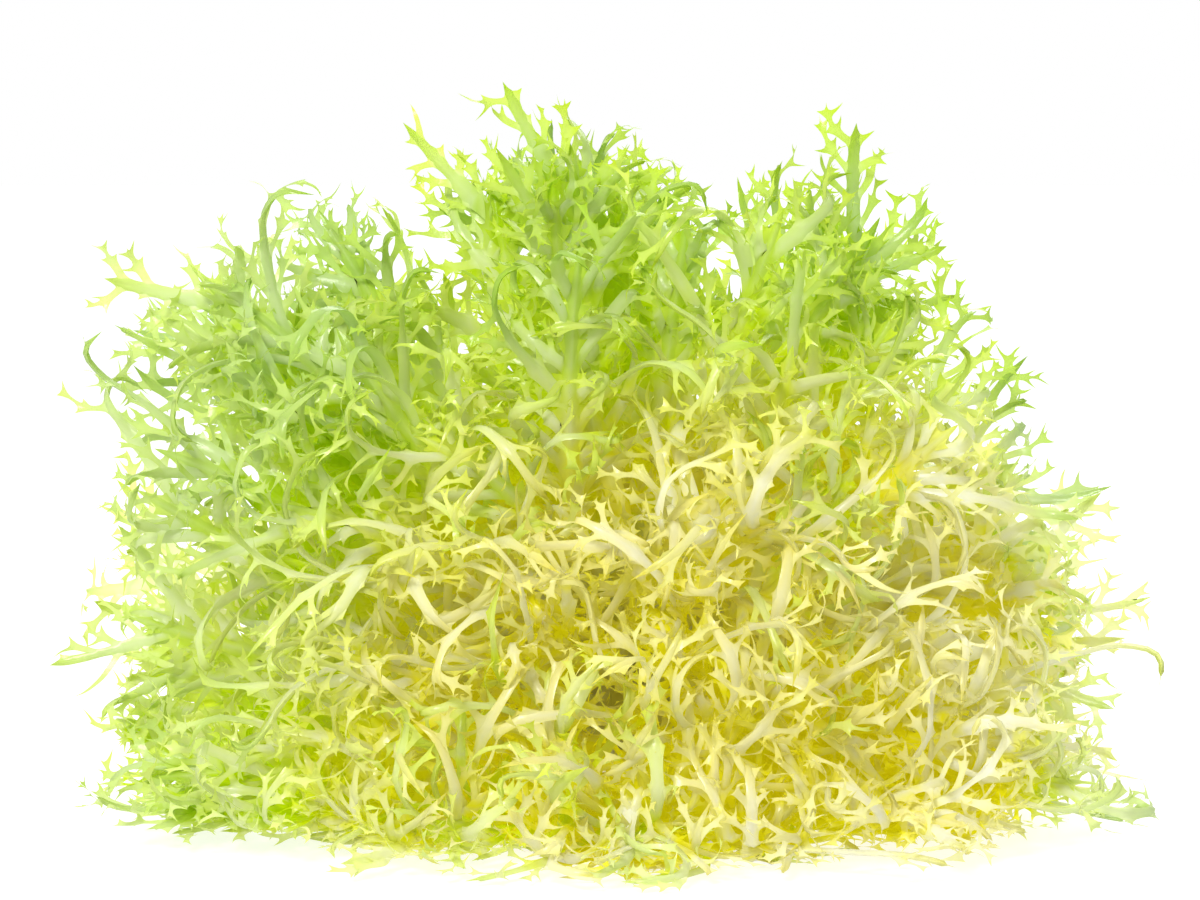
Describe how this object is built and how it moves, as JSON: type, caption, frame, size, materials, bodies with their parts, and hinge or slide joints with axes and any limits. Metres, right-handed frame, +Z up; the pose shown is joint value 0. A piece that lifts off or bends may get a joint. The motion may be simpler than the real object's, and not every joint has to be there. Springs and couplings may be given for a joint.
{
  "type": "curly endive head",
  "caption": "Head of curly endive lying on its side: frilly, deeply cut leaves fan out from a cut stump, with a pale yellow heart and green tips.",
  "frame": {"origin": "under the middle of the head, on the surface that it lies on", "axes": "+X to the right as seen from the front, along the widest spread of the leaves; -Y towards the viewer, the way the heart faces; +Z up"},
  "size_m": [0.3064, 0.1866, 0.2026],
  "materials": {
    "heart_leaf": "satin",
    "middle_leaf": "satin",
    "outer_leaf": "satin",
    "stump": "satin"
  },
  "bodies": {
    "root": {"heart_leaf_01": "heart_leaf", "heart_leaf_02": "heart_leaf", "heart_leaf_03": "heart_leaf", "heart_leaf_04": "heart_leaf", "heart_leaf_05": "heart_leaf", "heart_leaf_06": "heart_leaf", "heart_leaf_07": "heart_leaf", "heart_leaf_08": "heart_leaf", "heart_leaf_09": "heart_leaf", "heart_leaf_10": "heart_leaf", "heart_leaf_11": "heart_leaf", "heart_leaf_12": "heart_leaf", "heart_leaf_13": "heart_leaf", "heart_leaf_14": "heart_leaf", "heart_leaf_15": "heart_leaf", "heart_leaf_16": "heart_leaf", "heart_leaf_17": "heart_leaf", "heart_leaf_18": "heart_leaf", "heart_leaf_19": "heart_leaf", "heart_leaf_20": "heart_leaf", "heart_leaf_21": "heart_leaf", "heart_leaf_22": "heart_leaf", "middle_leaf_23": "middle_leaf", "middle_leaf_24": "middle_leaf", "middle_leaf_25": "middle_leaf", "middle_leaf_26": "middle_leaf", "middle_leaf_27": "middle_leaf", "middle_leaf_28": "middle_leaf", "middle_leaf_29": "middle_leaf", "middle_leaf_30": "middle_leaf", "middle_leaf_31": "middle_leaf", "middle_leaf_32": "middle_leaf", "middle_leaf_33": "middle_leaf", "middle_leaf_34": "middle_leaf", "middle_leaf_35": "middle_leaf", "outer_leaf_36": "outer_leaf", "outer_leaf_37": "outer_leaf", "outer_leaf_38": "outer_leaf", "outer_leaf_39": "outer_leaf", "outer_leaf_40": "outer_leaf", "outer_leaf_41": "outer_leaf", "outer_leaf_42": "outer_leaf", "outer_leaf_43": "outer_leaf", "outer_leaf_44": "outer_leaf", "outer_leaf_45": "outer_leaf", "outer_leaf_46": "outer_leaf", "outer_leaf_47": "outer_leaf", "outer_leaf_48": "outer_leaf", "outer_leaf_49": "outer_leaf", "outer_leaf_50": "outer_leaf", "outer_leaf_51": "outer_leaf", "outer_leaf_52": "outer_leaf", "outer_leaf_53": "outer_leaf", "outer_leaf_54": "outer_leaf", "outer_leaf_55": "outer_leaf", "outer_leaf_56": "outer_leaf", "stump": "stump"}
  },
  "joints": []
}
